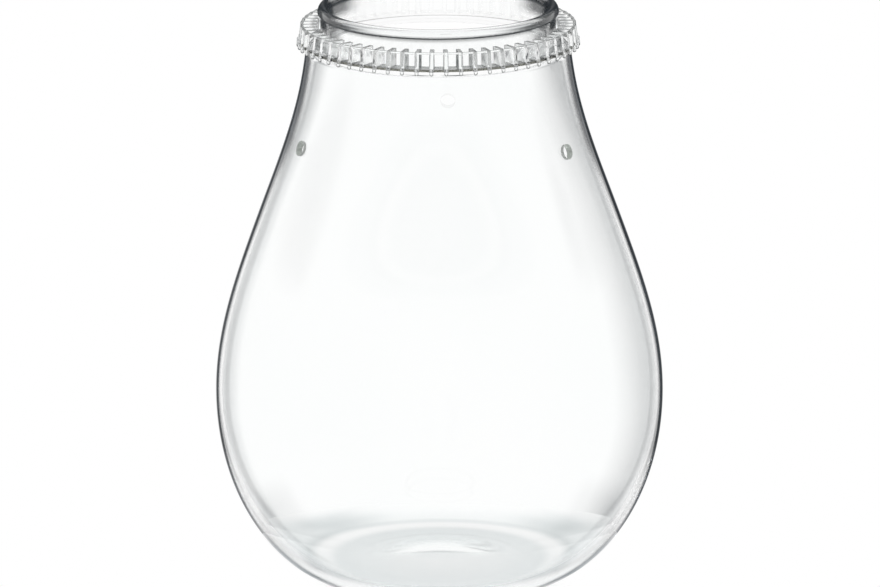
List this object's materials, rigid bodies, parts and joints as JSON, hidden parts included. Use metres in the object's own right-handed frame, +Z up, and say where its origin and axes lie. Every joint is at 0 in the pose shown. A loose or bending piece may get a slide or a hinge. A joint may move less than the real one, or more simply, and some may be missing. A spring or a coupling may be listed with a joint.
{
  "type": "glass planter",
  "caption": "Pear-shaped clear glass planter with a short neck, rolled rim, drilled vent holes and a lift-off clear finned collar.",
  "frame": {"origin": "centre of the foot ring, on the surface that the vessel stands on", "axes": "+Z up along the vessel's axis, -Y is the front, one vent hole faces +Y"},
  "size_m": [0.175, 0.175, 0.23],
  "materials": {
    "clear_glass": "polished clear glass",
    "clear_plastic": "clear moulded plastic"
  },
  "bodies": {
    "vessel": {"glass_vessel": "clear_glass"},
    "collar": {"vent_collar": "clear_plastic"}
  },
  "joints": [
    {"name": "collar_lift", "type": "slide", "parent": "vessel", "child": "collar", "axis": [0, 0, 1], "range_m": [0, 0.03]}
  ]
}
